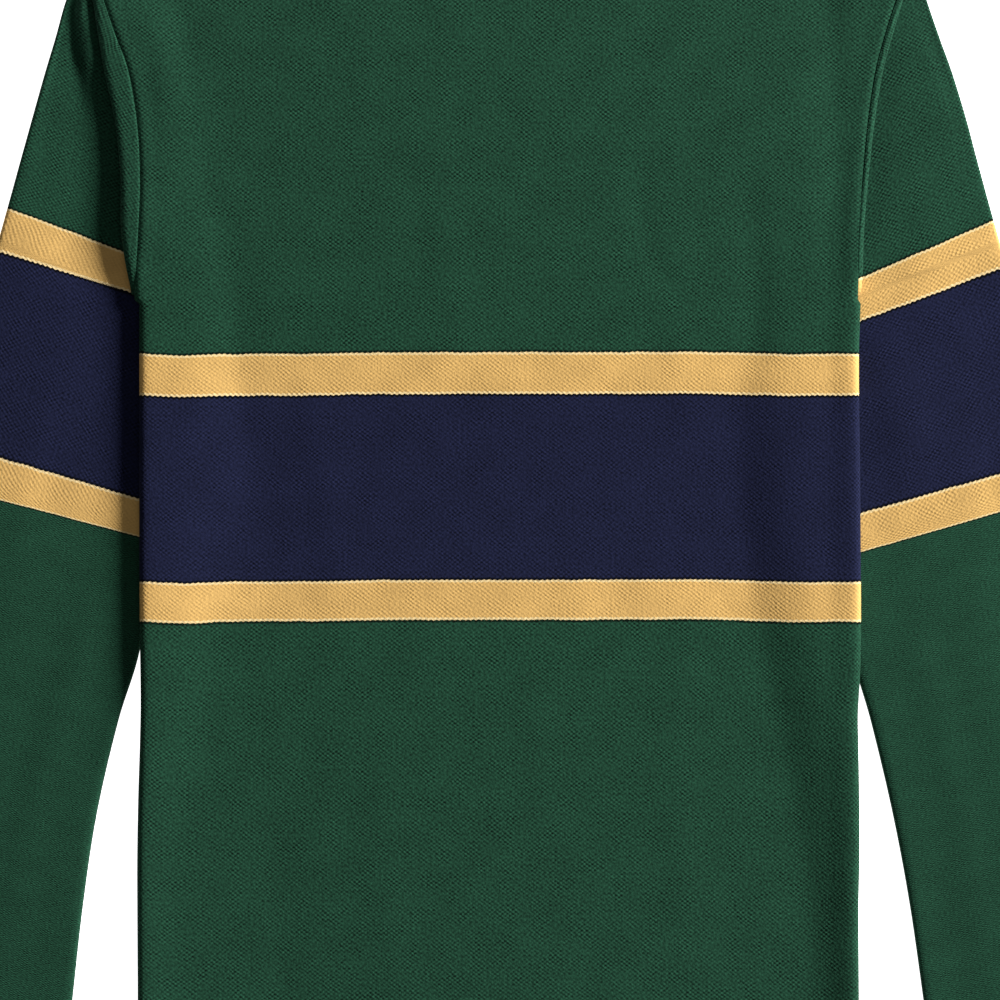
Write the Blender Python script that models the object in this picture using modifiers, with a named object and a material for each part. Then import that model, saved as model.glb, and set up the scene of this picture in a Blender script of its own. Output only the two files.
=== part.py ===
# Long-sleeved polo shirt in heavy pique knit, men's medium, laid face down with its back up.
# Both sides are tucked under, and each sleeve is brought down beside the body with a pleat
# at its armhole. Metres, +Z up, +Y towards the collar. Heights (h) are measured up from the hem.
import math

import bmesh
import bpy

# Cloth
WALL = 0.0012                # thickness of one layer of knit
LAYER = 0.0017               # height from the middle of one layer to the next
GAP = 0.0003                 # space left at a seam between two pieces
TABLE = WALL / 2             # middle of a layer that rests on the table

# Body
MIDDLE = 0.3675              # half of the whole height, hem to top of collar
BODY_HALF = 0.2044           # centre to the fold at each side
ROLL = 0.0050                # width over which a side rounds down into its fold
ROLL_START = BODY_HALF - WALL / 2 - ROLL
EDGE_LIFT = 0.0010           # how far a folded side bulges
UNDERARM = 0.4870            # height at which the armhole seam passes under the side
SEAM_SLOPE = 0.6000          # fall of the armhole seam towards the middle, below the fold

# Where the width tucked under each side ends, by height: "edge" is its inner edge, and "run"
# is the width over which the body climbs onto it.
TUCK_NAMES = ("h", "edge", "run")
TUCKS = {
    -1: (
        (0.000, 0.178, 0.030), (0.200, 0.176, 0.024), (0.280, 0.174, 0.014),
        (0.400, 0.168, 0.013), (0.450, 0.163, 0.010), (0.720, 0.163, 0.009),
    ),
    1: (
        (0.000, 0.192, 0.014), (0.092, 0.190, 0.014), (0.150, 0.185, 0.015),
        (0.206, 0.177, 0.016), (0.268, 0.167, 0.018), (0.342, 0.159, 0.024),
        (0.400, 0.156, 0.036), (0.470, 0.156, 0.044), (0.720, 0.156, 0.044),
    ),
}

# Shoulder and neck
SHOULDER_X = 0.2318
SHOULDER_H = 0.6780
NECK_HALF = 0.0880
NECK_H = 0.7200              # high point of the shoulder beside the neck
BACK_NECK_H = 0.7000
FRONT_NECK_H = 0.6350

# Placket and buttons
PLACKET_HALF = 0.0160
PLACKET_H = 0.4870           # foot of the placket opening
BUTTON_RADIUS = 0.00575
BUTTON_THICK = 0.0020
RIDGE_HALF = 0.0300          # half width of the soft ridge over the row of buttons
BUTTONS = {"button_top": 0.6200, "button_middle": 0.5660, "button_bottom": 0.5120}

# Collar, a folded strip of flat rib
COLLAR_FOLD_H = 0.7290       # fold at the middle of the back
COLLAR_FOLD_RISE = 0.0030    # how much higher the fold is at each side
COLLAR_FOLD_HALF = 0.0860
COLLAR_EDGE_H = 0.6840       # free edge at the middle of the back
COLLAR_SIDE = (0.1250, 0.7135)   # free edge where it turns over the shoulder
COLLAR_POINT = (0.0540, 0.6060)
COLLAR_END_X = 0.0040
COLLAR_FRONT_FOLD_H = 0.6570
COLLAR_REST = 0.0002         # clearance that its turned sides keep over the table

# Sleeve
SLEEVE_LOFT = 0.0017         # extra height of the tube along its outer fold
FRONT_INSET = 0.0060         # from the pleat's inner turn to the front armhole seam

# One row for each section across a sleeve, shoulder to cuff. "anchor" is the back armhole seam as
# far as the underarm and the tube's inner edge after that, "outer" is the outer fold, each with a
# left and right x. "lip" is the width beside the seam before the pleat turns under, and "reach"
# is how far the pleat then runs back under the body. "curl" turns the inner edge down.
SECTION_NAMES = (
    "anchor_left", "anchor_right", "anchor_h", "outer_left", "outer_right", "outer_h",
    "lip_left", "lip_right", "reach", "curl",
)
SECTIONS = [
    dict(zip(SECTION_NAMES, row))
    for row in (
        (0.2318, 0.2318, 0.678, 0.2388, 0.2380, 0.6760, 0.0020, 0.0015, 0.002, 0),
        (0.2262, 0.2262, 0.664, 0.2465, 0.2425, 0.6600, 0.0030, 0.0020, 0.005, 0),
        (0.2190, 0.2185, 0.640, 0.2527, 0.2500, 0.6380, 0.0045, 0.0025, 0.011, 0),
        (0.2108, 0.2130, 0.619, 0.2585, 0.2570, 0.6185, 0.0060, 0.0025, 0.018, 0),
        (0.2062, 0.2085, 0.588, 0.2658, 0.2649, 0.5925, 0.0060, 0.0020, 0.022, 0),
        (0.2050, 0.2055, 0.555, 0.2722, 0.2710, 0.5695, 0.0045, 0.0015, 0.025, 0),
        (0.2044, 0.2030, 0.523, 0.2788, 0.2775, 0.5455, 0.0030, 0.0010, 0.028, 0),
        (0.2022, 0.2022, 0.492, 0.2848, 0.2835, 0.5240, 0.0005, 0.0005, 0.029, 0),
        (0.1750, 0.1750, 0.475, 0.2895, 0.2885, 0.5070, 0.0000, 0.0000, 0.000, 0),
        (0.1762, 0.1762, 0.446, 0.2967, 0.2960, 0.4825, 0.0000, 0.0000, 0.000, 0),
        (0.1825, 0.1825, 0.410, 0.3068, 0.3065, 0.4470, 0.0000, 0.0000, 0.000, 0),
        (0.1900, 0.1900, 0.371, 0.3176, 0.3176, 0.4090, 0.0000, 0.0000, 0.000, 0),
        (0.1975, 0.1975, 0.330, 0.3284, 0.3284, 0.3625, 0.0000, 0.0000, 0.000, 0),
        (0.2055, 0.2055, 0.287, 0.3388, 0.3388, 0.3160, 0.0000, 0.0000, 0.000, 1),
        (0.2170, 0.2150, 0.250, 0.3468, 0.3468, 0.2750, 0.0000, 0.0000, 0.000, 1),
        (0.2290, 0.2240, 0.198, 0.3532, 0.3532, 0.2140, 0.0000, 0.0000, 0.000, 1),
        (0.2370, 0.2335, 0.145, 0.3568, 0.3568, 0.1550, 0.0000, 0.0000, 0.000, 1),
        (0.2440, 0.2420, 0.082, 0.3578, 0.3578, 0.0880, 0.0000, 0.0000, 0.000, 1),
    )
]
ARMHOLE_ROWS = sum(1 for row in SECTIONS if row["reach"])

# One row for each section across a rib cuff.
CUFF_NAMES = ("inner_x", "inner_h", "outer_x", "outer_h")
CUFF_SECTIONS = [
    dict(zip(CUFF_NAMES, row))
    for row in (
        (0.2460, 0.0814, 0.3558, 0.0874),
        (0.2510, 0.0700, 0.3520, 0.0755),
        (0.2530, 0.0480, 0.3505, 0.0530),
        (0.2535, 0.0270, 0.3500, 0.0320),
    )
]

SIDE_NAMES = {-1: "left", 1: "right"}


def smooth(value, start, end):
    """Rise from 0 at start to 1 at end, with level ends."""
    share = min(1.0, max(0.0, (value - start) / (end - start)))
    return share * share * (3 - 2 * share)


def mix(first, second, share):
    return first + (second - first) * share


def interpolate(value, pairs):
    """Read a height off a line through (position, height) pairs in rising order."""
    if value <= pairs[0][0]:
        return pairs[0][1]
    for (x0, y0), (x1, y1) in zip(pairs, pairs[1:]):
        if value <= x1:
            return mix(y0, y1, (value - x0) / (x1 - x0))
    return pairs[-1][1]


def tuck_at(side, h, name):
    """Read the inner edge of a side's tuck, or the run up to it, at one height."""
    column = TUCK_NAMES.index(name)
    return interpolate(h, [(row[0], row[column]) for row in TUCKS[side]])


def section_line(side, row):
    """Anchor point, outward direction and width of one sleeve section, seen from above."""
    name = SIDE_NAMES[side]
    anchor = (row["anchor_" + name], row["anchor_h"])
    outer = (row["outer_" + name], row["outer_h"])
    width = math.dist(anchor, outer)
    direction = ((outer[0] - anchor[0]) / width, (outer[1] - anchor[1]) / width)
    return anchor, direction, width


def along(anchor, direction, distance):
    return (anchor[0] + direction[0] * distance, anchor[1] + direction[1] * distance)


def front_seam(side, row):
    """Point where the front's armhole edge meets the lower layer of the sleeve."""
    anchor, direction, _ = section_line(side, row)
    return along(anchor, direction, -row["reach"] - min(FRONT_INSET, row["reach"]))


def hidden_edge_line(side):
    """(height, x) pairs of the innermost line that the sleeve reaches under the body."""
    pairs = []
    for row in SECTIONS:
        anchor, direction, _ = section_line(side, row)
        x, h = along(anchor, direction, -row["reach"])
        pairs.append((h, x))
    return sorted(pairs)


HIDDEN_EDGES = {side: hidden_edge_line(side) for side in (-1, 1)}


def sleeve_lift(side, x, h):
    """Height added over the two layers of a sleeve that lie under the body."""
    edge = interpolate(h, HIDDEN_EDGES[side])
    return 2 * LAYER * smooth(x, edge - 0.023, edge - 0.008)


def flap_lift(side, x, h):
    """Height added over the two layers tucked under a side, fading out above the underarm."""
    edge = tuck_at(side, h, "edge")
    fade_end = 0.600 if side < 0 else 0.560
    fade = 1 - smooth(h, UNDERARM + 0.010, fade_end)
    return 2 * LAYER * smooth(x, edge - tuck_at(side, h, "run"), edge) * fade


def side_bulge(x):
    return EDGE_LIFT * smooth(x, ROLL_START - 0.015, ROLL_START)


def collar_lift(x, h):
    """Height added over the layer of collar that lies under the front."""
    rise = smooth(h, 0.580, 0.602)
    return LAYER * rise * (1 - smooth(x, 0.130, 0.155))


def button_lift(x, h):
    """Height that pushes the cloth up in a soft ridge over the row of buttons."""
    share = 1 - smooth(x, BUTTON_RADIUS + 0.001, RIDGE_HALF)
    share *= smooth(h, PLACKET_H - 0.020, PLACKET_H + 0.010) * (1 - smooth(h, 0.634, 0.665))
    return (BUTTON_THICK + 2 * GAP) * share


def placket_lift(x, h):
    """Height added to the back over the second band of the placket."""
    width_share = 1 - smooth(x, PLACKET_HALF + 0.001, 0.045)
    height_share = smooth(h, PLACKET_H - 0.030, PLACKET_H) * (1 - smooth(h, 0.640, 0.672))
    return LAYER * width_share * height_share


def front_z(side, x, h):
    inset = 0.003 * smooth(h, LOW_ROWS[-1], LOW_ROWS[-1] + 0.005)
    support = sleeve_lift(side, x - inset, h) + flap_lift(side, x - inset, h) + side_bulge(x)
    support *= 1 - smooth(h, UNDERARM, UNDERARM + 0.027)
    return TABLE + support + max(collar_lift(x, h), button_lift(x, h))


def back_z(side, x, h):
    support = sleeve_lift(side, x, h) + flap_lift(side, x, h) + side_bulge(x)
    slack = 0.0004 * smooth(h, UNDERARM, UNDERARM + 0.05)
    middle = 1.15 * max(collar_lift(x, h), button_lift(x, h)) + placket_lift(x, h)
    return TABLE + LAYER + slack + support + middle


def back_flap_z(side, x, h):
    return TABLE + sleeve_lift(side, x, h)


def front_flap_z(side, x, h):
    return TABLE + LAYER + sleeve_lift(side, x, h)


def neck_curve(x, depth_h):
    """Height of a neckline that is level at the middle and rises to the shoulder beside it."""
    share = min(1.0, abs(x) / NECK_HALF)
    if depth_h == BACK_NECK_H:
        return mix(depth_h, NECK_H, share * share)
    return NECK_H - (NECK_H - depth_h) * math.sqrt(max(0.0, 1 - share * share))


def top_line(x, depth_h):
    """Height of a panel's top edge: the neckline, then the shoulder seam."""
    if x <= NECK_HALF:
        return neck_curve(x, depth_h)
    slope = (NECK_H - SHOULDER_H) / (SHOULDER_X - NECK_HALF)
    return NECK_H - (x - NECK_HALF) * slope


def clear_scene():
    for item in list(bpy.data.objects):
        bpy.data.objects.remove(item, do_unlink=True)


def make_material(name, colour, roughness):
    material = bpy.data.materials.new(name)
    material.use_nodes = True
    shader = material.node_tree.nodes["Principled BSDF"]
    shader.inputs["Base Color"].default_value = (*colour, 1)
    shader.inputs["Roughness"].default_value = roughness
    shader.inputs["Metallic"].default_value = 0
    return material


def add_object(name, bm, material, collection):
    mesh = bpy.data.meshes.new(name)
    bm.to_mesh(mesh)
    bm.free()
    mesh.materials.append(material)
    mesh.shade_smooth()
    item = bpy.data.objects.new(name, mesh)
    collection.objects.link(item)
    return item


def lay_cloth(name, place, columns, rows, material, collection):
    """Lay a grid of cloth by place(column, row), drop the points it leaves out, and thicken it."""
    bm = bmesh.new()
    bmesh.ops.create_grid(bm, x_segments=columns - 1, y_segments=rows - 1, size=1)
    bm.verts.ensure_lookup_table()
    unused = []
    for index, vert in enumerate(bm.verts):
        row, column = divmod(index, columns)
        point = place(column, row)
        if point is None:
            unused.append(vert)
        else:
            vert.co = (point[0], point[1] - MIDDLE, point[2])
    bmesh.ops.delete(bm, geom=unused, context="VERTS")
    bmesh.ops.recalc_face_normals(bm, faces=bm.faces)
    item = add_object(name, bm, material, collection)
    wall = item.modifiers.new("Wall", "SOLIDIFY")
    wall.thickness = WALL
    wall.offset = 0
    wall.use_even_offset = True
    return item


# Columns across a body panel, left seam to right seam. Each is (side, part, share): the fixed
# middle, the stretch before the step onto a tucked side, the step, the stretch after it, the
# roll at the side, and the flap tucked under.
INNER_XS = (0.0, PLACKET_HALF / 2, PLACKET_HALF, 0.030, 0.045, 0.060, 0.072, 0.082, NECK_HALF)
FLAP_COUNT = 5
OUTER_PARTS = (("before", 2), ("step", 3), ("after", FLAP_COUNT))
ROLL_STEPS = 6


def spread(start, end, count):
    return [mix(start, end, step / count) for step in range(1, count + 1)]


def half_columns(side):
    """Columns from just beside the middle line out to one side's seam."""
    columns = [(side, "inner", x) for x in INNER_XS[1:]]
    for part, count in OUTER_PARTS:
        columns += [(side, part, share) for share in spread(0, 1, count)]
    columns += [(side, "roll", step / ROLL_STEPS) for step in range(1, ROLL_STEPS)]
    columns += [(side, "flap", share) for share in reversed([0.0] + spread(0, 1, FLAP_COUNT))]
    return columns


BODY_COLUMNS = list(reversed(half_columns(-1))) + [(1, "inner", 0.0)] + half_columns(1)


def column_x(side, part, value, edge, h):
    """Columns keep their place as far as the step, and share out what is left to the edge."""
    if part == "inner":
        return value
    step_end = tuck_at(side, h, "edge")
    step_start = step_end - tuck_at(side, h, "run")
    if part == "before":
        return mix(NECK_HALF, step_start, value)
    if part == "step":
        return mix(step_start, step_end, value)
    return mix(step_end, edge, value)


def body_rows(low_rows, armhole, curve_rows):
    """Rows of a panel, hem to shoulder: (kind, height or armhole row)."""
    rows = [("low", h) for h in low_rows]
    rows += [("curve", step / (curve_rows + 1)) for step in range(1, curve_rows + 1)]
    rows += [("arm", index) for index in reversed(range(armhole))]
    return rows


LOW_ROWS = (
    0.0, 0.035, 0.080, 0.130, 0.180, 0.215, 0.240, 0.262, 0.285,
    0.315, 0.350, 0.385, 0.415, 0.436, 0.450,
)
BACK_ROWS = body_rows(LOW_ROWS + (0.468, UNDERARM), ARMHOLE_ROWS, 0)
FRONT_ROWS = body_rows(LOW_ROWS, ARMHOLE_ROWS, 2)


def flap_height(x, h, top):
    """Heights on a flap are squeezed so that its top follows the armhole seam inwards."""
    return h * (1 - SEAM_SLOPE * (ROLL_START - x) / top)


def fold_point(side, share, h, upper, lower, reach):
    """Point on the rounded fold between a panel's upper and lower layers."""
    angle = math.pi * share
    x = ROLL_START + reach * math.sin(angle)
    z = mix(lower, upper, (1 + math.cos(angle)) / 2)
    return (side * x, h, z)


def low_point(column, h, panel):
    """Point of a panel below the underarm, where it goes on round the side and under."""
    side, part, value = BODY_COLUMNS[column]
    if part not in ("roll", "flap"):
        x = column_x(side, part, value, ROLL_START, h)
        return (side * x, h, panel["z"](side, x, h))
    if part == "roll":
        upper = panel["z"](side, ROLL_START, h)
        lower = panel["flap_z"](side, ROLL_START, h)
        reach = ROLL if panel["outside"] else (upper - lower) / 2
        return fold_point(side, value, h, upper, lower, reach)
    x = column_x(side, "after", value, ROLL_START, h)
    flap_h = flap_height(x, h, panel["flap_top"])
    return (side * x, flap_h, panel["flap_z"](side, x, flap_h))


def arm_point(column, index, panel):
    """Point of a panel between the underarm and the shoulder."""
    side, part, value = BODY_COLUMNS[column]
    if part in ("roll", "flap"):
        return None
    edge, edge_h = panel["seam"](side, SECTIONS[index])
    top_edge, top_edge_h = panel["seam"](side, SECTIONS[0])
    rise = (edge_h - UNDERARM) / (top_edge_h - UNDERARM)
    x = column_x(side, part, value, edge - GAP / 2, edge_h)
    top_x = column_x(side, part, value, top_edge - GAP / 2, top_edge_h)
    top = top_line(top_x, panel["neck"])
    h = mix(UNDERARM, top, rise)
    return (side * x, h, panel["z"](side, x, h))


def curve_point(column, share, panel):
    """Point of the front beside the lower curve of its armhole."""
    side, part, value = BODY_COLUMNS[column]
    if part in ("roll", "flap"):
        return None
    edge, edge_h = panel["seam"](side, SECTIONS[ARMHOLE_ROWS - 1])
    angle = share * math.pi / 2
    corner_h = LOW_ROWS[-1]
    h = edge_h - (edge_h - corner_h) * math.cos(angle)
    curve_x = ROLL_START - (ROLL_START - edge) * math.sin(angle)
    x = column_x(side, part, value, curve_x, h)
    return (side * x, h, panel["z"](side, x, h))


def in_placket(column, kind):
    side, part, value = BODY_COLUMNS[column]
    return kind == "arm" and part == "inner" and value < PLACKET_HALF


def build_panel(name, rows, panel, material, collection):
    def place(column, row):
        kind, value = rows[row]
        if panel["split"] and in_placket(column, kind):
            return None
        if kind == "low":
            return low_point(column, value, panel)
        if kind == "curve":
            return curve_point(column, value, panel)
        return arm_point(column, value, panel)

    return lay_cloth(name, place, len(BODY_COLUMNS), len(rows), material, collection)


# Stretches of the path round a sleeve section, from the back armhole seam: the lip beside the
# seam, its turn under, the run back under the body, the turn out again, the top of the sleeve,
# its outer fold and the lower layer.
SLEEVE_PATH = (
    ("lip", 2), ("turn_under", 4), ("run_back", 2), ("turn_out", 4),
    ("top", 6), ("outer_fold", 4), ("lower", 5),
)
SLEEVE_COLUMNS = [(part, step / count) for part, count in SLEEVE_PATH for step in range(count)]
SLEEVE_COLUMNS.append(("lower", 1.0))


def arc(centre, radius, start, share):
    """Point on a half circle in the section, starting straight up (1) or down (-1) from centre."""
    angle = math.pi * share
    return (radius * math.sin(angle), centre + start * radius * math.cos(angle))


def armhole_path(side, row, part, share):
    """(distance from the seam, height) of the sleeve where it is still open to the body."""
    anchor, _, width = section_line(side, row)
    lip = row["lip_" + SIDE_NAMES[side]]
    reach = row["reach"]
    high = back_z(side, anchor[0], anchor[1])
    low = TABLE + LAYER
    level = (high + low) / 2
    if part == "lip":
        return (mix(GAP / 2, lip, share), high)
    if part == "turn_under":
        bulge, z = arc((high + level) / 2, (high - level) / 2, 1, share)
        return (lip + bulge, z)
    if part == "run_back":
        return (mix(lip, -reach, share), level)
    if part == "turn_out":
        bulge, z = arc((level + low) / 2, (level - low) / 2, 1, share)
        return (-reach - bulge, z)
    return tube_path(width, low, -reach, -reach - min(FRONT_INSET, reach) + GAP / 2, part, share)


def tube_path(width, low, start, end, part, share):
    """(distance, height) of the top, outer fold and lower layer of a sleeve section."""
    loft = SLEEVE_LOFT * smooth(width, 0.010, 0.050)
    radius = (LAYER + loft) / 2
    fold = width - radius - WALL / 2
    if part == "top":
        s = mix(start, fold, share)
        return (s, low + loft * smooth(share, 0.25, 0.75))
    if part == "outer_fold":
        bulge, z = arc(TABLE + radius, radius, 1, share)
        return (fold + bulge, z)
    return (mix(fold, end, share), TABLE)


def closed_path(side, row, part, share):
    """(distance from the inner edge, height) of the sleeve below the underarm."""
    width = section_line(side, row)[2]
    low = TABLE + LAYER
    if part in ("lip", "turn_under", "run_back"):
        return None
    if part == "turn_out":
        if share < 0.5:
            return None
        angle = (share - 0.5) * math.pi
        drop = row["curl"] * LAYER * (1 - math.sin(angle))
        return (WALL / 2 + LAYER * (1 - math.cos(angle)), low - drop)
    return tube_path(width, low, WALL / 2 + LAYER, 2 * WALL, part, share)


def build_sleeve(side, material, collection):
    def place(column, index):
        part, share = SLEEVE_COLUMNS[column]
        row = SECTIONS[index]
        path = armhole_path if index < ARMHOLE_ROWS else closed_path
        point = path(side, row, part, share)
        if point is None:
            return None
        anchor, direction, _ = section_line(side, row)
        x, h = along(anchor, direction, point[0])
        return (side * x, h, point[1])

    name = "sleeve_" + SIDE_NAMES[side]
    return lay_cloth(name, place, len(SLEEVE_COLUMNS), len(SECTIONS), material, collection)


# Path round a cuff section, from its seam on the underside: lower layer, inner fold, top,
# outer fold and back to the seam.
CUFF_PATH = (("seam", 1), ("inner_fold", 4), ("top", 5), ("outer_fold", 4), ("lower", 4))
CUFF_COLUMNS = [(part, step / count) for part, count in CUFF_PATH for step in range(count)]
CUFF_COLUMNS.append(("lower", 1.0))


def cuff_path(width, part, share):
    radius = (LAYER + SLEEVE_LOFT / 2) / 2
    inner = radius + WALL / 2
    outer = width - radius - WALL / 2
    seam = inner + 0.010
    if part == "seam":
        return (mix(seam, inner, share), TABLE)
    if part == "inner_fold":
        bulge, z = arc(TABLE + radius, radius, -1, share)
        return (inner - bulge, z)
    if part == "top":
        return (mix(inner, outer, share), TABLE + 2 * radius)
    if part == "outer_fold":
        bulge, z = arc(TABLE + radius, radius, 1, share)
        return (outer + bulge, z)
    return (mix(outer, seam + GAP, share), TABLE)


def build_cuff(side, material, collection):
    def place(column, index):
        row = CUFF_SECTIONS[index]
        inner = (row["inner_x"], row["inner_h"])
        outer = (row["outer_x"], row["outer_h"])
        width = math.dist(inner, outer)
        part, share = CUFF_COLUMNS[column]
        s, z = cuff_path(width, part, share)
        x = mix(inner[0], outer[0], s / width)
        h = mix(inner[1], outer[1], s / width)
        return (side * x, h, z)

    name = "cuff_" + SIDE_NAMES[side]
    return lay_cloth(name, place, len(CUFF_COLUMNS), len(CUFF_SECTIONS), material, collection)


# Rows across the collar, neck seam to free edge, and stations along half of it, from the
# middle of the back out to the shoulder, over it, and back to the middle of the front.
COLLAR_ROWS = (
    ("stand", 0.0), ("stand", 0.5), ("stand", 1.0),
    ("fold", 0.25), ("fold", 0.5), ("fold", 0.75),
    ("fall", 0.0), ("fall", 0.35), ("fall", 0.7), ("fall", 1.0),
)
COLLAR_SHARES = [0.0] + [x / NECK_HALF for x in INNER_XS[2:]]
COLLAR_HALF = (
    [("back", share) for share in COLLAR_SHARES]
    + [("side", share) for share in (0.2, 0.4, 0.6, 0.8)]
    + [("front", share) for share in reversed(COLLAR_SHARES)]
)
COLLAR_COLUMNS = [(-1, *station) for station in reversed(COLLAR_HALF[1:])]
COLLAR_COLUMNS += [(1, *station) for station in COLLAR_HALF]


def collar_seam(where, share):
    x = NECK_HALF * share
    if where == "back":
        return (x, neck_curve(x, BACK_NECK_H) + GAP)
    inside = 1 - 2 * GAP / NECK_HALF
    return (max(COLLAR_END_X, x * inside), neck_curve(x, FRONT_NECK_H) + 2 * GAP)


def collar_fold(where, share):
    side_h = COLLAR_FOLD_H + COLLAR_FOLD_RISE
    if where == "back":
        return (COLLAR_FOLD_HALF * share, mix(COLLAR_FOLD_H, side_h, share * share))
    x = max(COLLAR_END_X, COLLAR_FOLD_HALF * share)
    drop = math.sqrt(max(0.0, 1 - (x / COLLAR_FOLD_HALF) ** 2))
    return (x, side_h - (side_h - COLLAR_FRONT_FOLD_H) * drop)


def collar_edge(where, share):
    if where == "back":
        x = COLLAR_SIDE[0] * share
        return (x, mix(COLLAR_EDGE_H, COLLAR_SIDE[1], share ** 2.5))
    x = mix(COLLAR_POINT[0], COLLAR_SIDE[0], share)
    return (x, mix(COLLAR_POINT[1], COLLAR_SIDE[1], share ** 1.15))


def collar_point(side, where, station, kind, share):
    """Point of the collar strip: where it lies flat, and where it turns over the shoulder."""
    end = "back" if where == "side" else where
    along_share = 1.0 if where == "side" else station
    fold = collar_fold(end, along_share)
    outer = {"stand": collar_seam, "fall": collar_edge}.get(kind, collar_fold)(end, along_share)
    part = 1 - share if kind == "stand" else share
    x = mix(fold[0], outer[0], part)
    h = mix(fold[1], outer[1], part)
    back_low = TABLE + 2.15 * LAYER + 0.0004
    front_high = TABLE + LAYER + COLLAR_REST
    turn = {"stand": 0.0, "fall": 1.0}.get(kind, (1 - math.cos(math.pi * share)) / 2)
    if kind == "fold":
        h += LAYER / 2 * math.sin(math.pi * share)
    back = back_low + LAYER * turn
    front = front_high - LAYER * turn
    if where == "back":
        return (side * x, h, back)
    if where == "front":
        return (side * x, h, front)
    angle = math.pi * station
    bulge = (back - front) / 2 * math.sin(angle)
    return (side * (x + 0.47 * bulge), h + 0.88 * bulge, mix(front, back, (1 + math.cos(angle)) / 2))


def build_collar(material, collection):
    def place(column, row):
        side, where, station = COLLAR_COLUMNS[column]
        kind, share = COLLAR_ROWS[row]
        return collar_point(side, where, station, kind, share)

    return lay_cloth("collar", place, len(COLLAR_COLUMNS), len(COLLAR_ROWS), material, collection)


PLACKET_XS = (-1.0, -0.5, 0.0, 0.5, 1.0)
PLACKET_ROWS = 17


def build_placket(name, layer, material, collection):
    """One band of the placket. Layer 0 faces the table, and layer 1 lies over it."""
    def place(column, row):
        x = PLACKET_XS[column] * (PLACKET_HALF - GAP)
        top = neck_curve(x, FRONT_NECK_H)
        foot = PLACKET_H + 0.005
        h = mix(foot, top - GAP, row / (PLACKET_ROWS - 1))
        lift = max(collar_lift(abs(x), h), button_lift(abs(x), h))
        return (x, h, TABLE + lift + layer * LAYER)

    return lay_cloth(name, place, len(PLACKET_XS), PLACKET_ROWS, material, collection)


def build_button(name, h, material, collection):
    bm = bmesh.new()
    bmesh.ops.create_cone(
        bm, cap_ends=True, segments=24,
        radius1=BUTTON_RADIUS, radius2=BUTTON_RADIUS, depth=BUTTON_THICK,
    )
    item = add_object(name, bm, material, collection)
    item.location = (0, h - MIDDLE, BUTTON_THICK / 2)
    rim = item.modifiers.new("Rim", "BEVEL")
    rim.width = 0.0005
    rim.segments = 2
    return item


def build_shirt():
    clear_scene()
    shirt = bpy.data.collections.new("polo_shirt")
    bpy.context.scene.collection.children.link(shirt)
    green = (0.017, 0.082, 0.042)
    back_cloth = make_material("pique_back", green, 0.90)
    front_cloth = make_material("pique_front", green, 0.90)
    sleeve_cloth = make_material("pique_sleeve", green, 0.90)
    rib = make_material("flat_rib", green, 0.92)
    band_cloth = make_material("placket_band", green, 0.90)
    resin = make_material("button_resin", (0.020, 0.070, 0.040), 0.35)

    back = {
        "z": back_z, "flap_z": back_flap_z, "flap_top": UNDERARM, "outside": True,
        "neck": BACK_NECK_H, "seam": lambda side, row: section_line(side, row)[0], "split": False,
    }
    front = {
        "z": front_z, "flap_z": front_flap_z, "flap_top": LOW_ROWS[-1], "outside": False,
        "neck": FRONT_NECK_H, "seam": front_seam, "split": True,
    }
    build_panel("back", BACK_ROWS, back, back_cloth, shirt)
    build_panel("front", FRONT_ROWS, front, front_cloth, shirt)
    for side in (-1, 1):
        build_sleeve(side, sleeve_cloth, shirt)
        build_cuff(side, rib, shirt)
    build_collar(rib, shirt)
    build_placket("placket_overlap", 0, band_cloth, shirt)
    build_placket("placket_underlap", 1, band_cloth, shirt)
    for name, h in BUTTONS.items():
        build_button(name, h, resin, shirt)


build_shirt()
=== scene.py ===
# Long-sleeved polo shirt in heavy pique knit, laid face down with its back up, seen from above.
# Metres, +Z up, +Y towards the collar. Heights (h) are measured up from the hem.
import math

import bmesh
import bpy
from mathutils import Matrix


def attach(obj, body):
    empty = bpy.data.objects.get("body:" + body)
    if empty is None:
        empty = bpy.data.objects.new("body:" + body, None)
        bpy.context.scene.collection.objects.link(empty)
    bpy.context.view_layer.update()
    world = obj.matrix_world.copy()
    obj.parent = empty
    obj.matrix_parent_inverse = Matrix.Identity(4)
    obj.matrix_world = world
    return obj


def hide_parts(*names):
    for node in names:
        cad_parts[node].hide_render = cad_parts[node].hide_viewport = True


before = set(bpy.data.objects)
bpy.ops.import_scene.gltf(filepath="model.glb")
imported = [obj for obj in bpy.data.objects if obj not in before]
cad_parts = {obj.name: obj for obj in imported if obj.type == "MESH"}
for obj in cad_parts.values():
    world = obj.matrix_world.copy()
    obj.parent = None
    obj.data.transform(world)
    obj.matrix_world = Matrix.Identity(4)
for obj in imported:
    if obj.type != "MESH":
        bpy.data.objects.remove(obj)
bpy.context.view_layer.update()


# Camera
# Straight above the shirt, at the middle of the stretch that the picture shows.
CAMERA_HEIGHT = 2.000
PICTURE_WIDTH = 0.567        # width of cloth that fills the picture
PICTURE_Y = 0.0085
CLOTH_TOP = 0.006            # level at which that width is measured
SENSOR = 36.0

camera_data = bpy.data.cameras.new("camera")
camera_data.sensor_width = SENSOR
camera_data.lens = SENSOR * (CAMERA_HEIGHT - CLOTH_TOP) / PICTURE_WIDTH
camera = bpy.data.objects.new("camera", camera_data)
camera.location = (0, PICTURE_Y, CAMERA_HEIGHT)
bpy.context.scene.collection.objects.link(camera)
bpy.context.scene.camera = camera


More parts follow.
